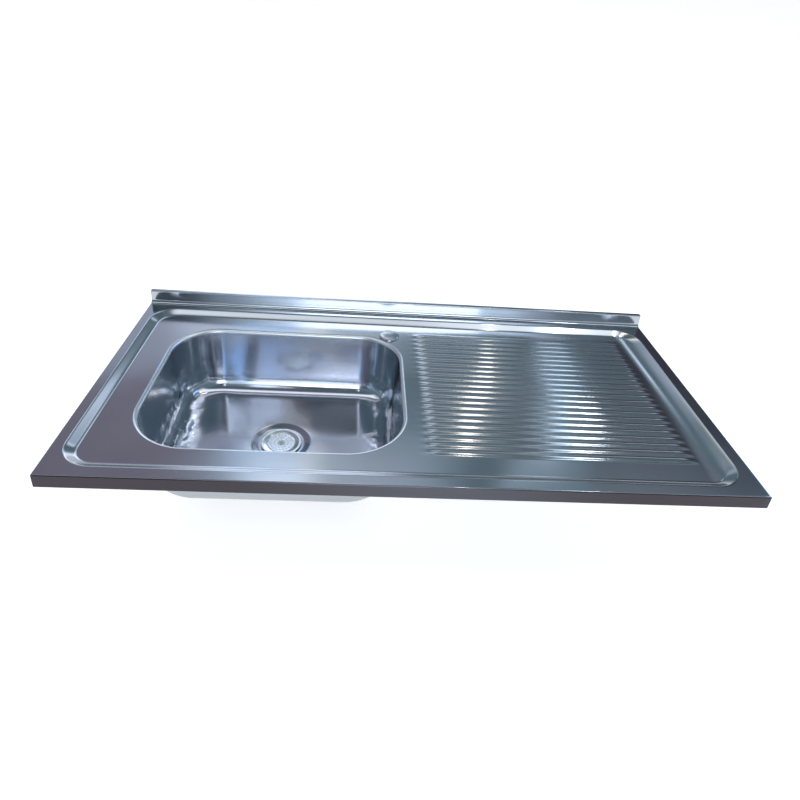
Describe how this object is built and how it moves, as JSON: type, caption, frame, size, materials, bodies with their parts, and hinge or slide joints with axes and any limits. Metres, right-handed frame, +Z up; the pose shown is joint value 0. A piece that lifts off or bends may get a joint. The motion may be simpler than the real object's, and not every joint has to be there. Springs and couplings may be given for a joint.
{
  "type": "kitchen sink",
  "caption": "Pressed stainless-steel sit-on kitchen sink with a left-hand bowl, a ribbed drainer, a rear upstand, a capped tap hole and a strainer waste.",
  "frame": {"origin": "middle of the front lip's underside, which rests on the cabinet", "axes": "+X to the right along the front, +Y from the front to the wall, +Z up"},
  "size_m": [1.2, 0.6, 0.2703],
  "materials": {
    "worktop_steel": "satin rolled and pressed stainless steel",
    "bowl_steel": "bright drawn stainless steel",
    "fitting_steel": "polished stainless steel",
    "waste_plastic": "moulded white polypropylene",
    "dark_plastic": "moulded black plastic",
    "rubber": "soft black rubber",
    "damping_pad": "grey bitumen pad",
    "zinc_steel": "zinc-plated steel"
  },
  "bodies": {
    "sink": {"worktop": "worktop_steel", "bowl": "bowl_steel", "waste_flange": "fitting_steel", "flange_seal": "rubber", "under_seal": "rubber", "waste_body": "waste_plastic", "clamp_screw": "fitting_steel", "drainer_stiffener_left": "zinc_steel", "drainer_stiffener_right": "zinc_steel", "drainer_pad": "damping_pad", "bowl_pad": "damping_pad", "fixing_studs": "zinc_steel", "fixing_washers": "zinc_steel", "fixing_nuts": "zinc_steel"},
    "strainer": {"strainer_plate": "fitting_steel", "strainer_post": "dark_plastic"},
    "tap_hole_cap": {"cap_disc": "fitting_steel", "cap_seal": "rubber", "cap_plug": "dark_plastic"},
    "front_left_bracket": {"bracket_front_left": "zinc_steel"},
    "front_right_bracket": {"bracket_front_right": "zinc_steel"},
    "rear_left_bracket": {"bracket_rear_left": "zinc_steel"},
    "rear_right_bracket": {"bracket_rear_right": "zinc_steel"}
  },
  "joints": [
    {"name": "strainer_lift", "type": "slide", "parent": "sink", "child": "strainer", "axis": [0, 0, 1], "range_m": [0, 0.2]},
    {"name": "cap_lift", "type": "slide", "parent": "sink", "child": "tap_hole_cap", "axis": [0, 0, 1], "range_m": [0, 0.05]},
    {"name": "front_left_swing", "type": "hinge", "parent": "sink", "child": "front_left_bracket", "pos_m": [-0.538, 0.102, 0.012], "axis": [0, 0, 1], "range_deg": [-90, 90]},
    {"name": "front_right_swing", "type": "hinge", "parent": "sink", "child": "front_right_bracket", "pos_m": [0.508, 0.102, 0.012], "axis": [0, 0, 1], "range_deg": [-90, 90]},
    {"name": "rear_left_swing", "type": "hinge", "parent": "sink", "child": "rear_left_bracket", "pos_m": [-0.538, 0.462, 0.012], "axis": [0, 0, 1], "range_deg": [-90, 90]},
    {"name": "rear_right_swing", "type": "hinge", "parent": "sink", "child": "rear_right_bracket", "pos_m": [0.508, 0.462, 0.012], "axis": [0, 0, 1], "range_deg": [-90, 90]}
  ]
}
